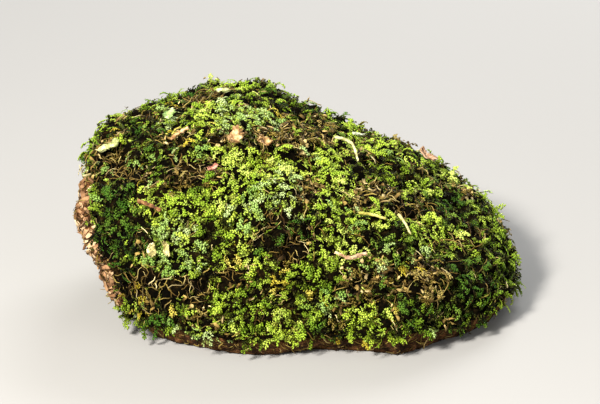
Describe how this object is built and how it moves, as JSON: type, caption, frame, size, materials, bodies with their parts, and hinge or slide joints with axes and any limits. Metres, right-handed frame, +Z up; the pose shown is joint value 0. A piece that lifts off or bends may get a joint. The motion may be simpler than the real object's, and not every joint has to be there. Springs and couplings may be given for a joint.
{
  "type": "moss clump",
  "caption": "Clump of creeping sheet moss, a lopsided dome of bright green shoots on a brown felt of dead stems, with twigs and leaf scraps caught in it",
  "frame": {"origin": "middle of the bounding box on the resting plane", "axes": "+X to the low end, +Y to the back, +Z up"},
  "size_m": [0.2396, 0.1934, 0.1113],
  "materials": {
    "living_moss": "fine leafy shoots, matte, bright tips over near-black gaps",
    "duff": "matted dead stems, leaf litter and soil, matte brown",
    "dead_stem": "dry weathered twig and stalk, matte",
    "dead_leaf": "dry leaf, husk and bark scraps, matte to satin"
  },
  "bodies": {
    "root": {"moss_mat": "living_moss", "duff_backing": "duff", "bent_twig": "dead_stem", "brown_twig": "dead_stem", "tan_twig": "dead_stem", "arched_stalk": "dead_stem", "yellow_stalk": "dead_stem", "pale_needle": "dead_stem", "leaf_bit_left": "dead_leaf", "leaf_bit_right": "dead_leaf", "cream_leaf": "dead_leaf", "white_flake": "dead_leaf", "margin_leaf": "dead_leaf", "round_leaf": "dead_leaf", "curled_leaf": "dead_leaf", "husk_left": "dead_leaf", "husk_right": "dead_leaf", "pink_scale": "dead_leaf"}
  },
  "joints": []
}
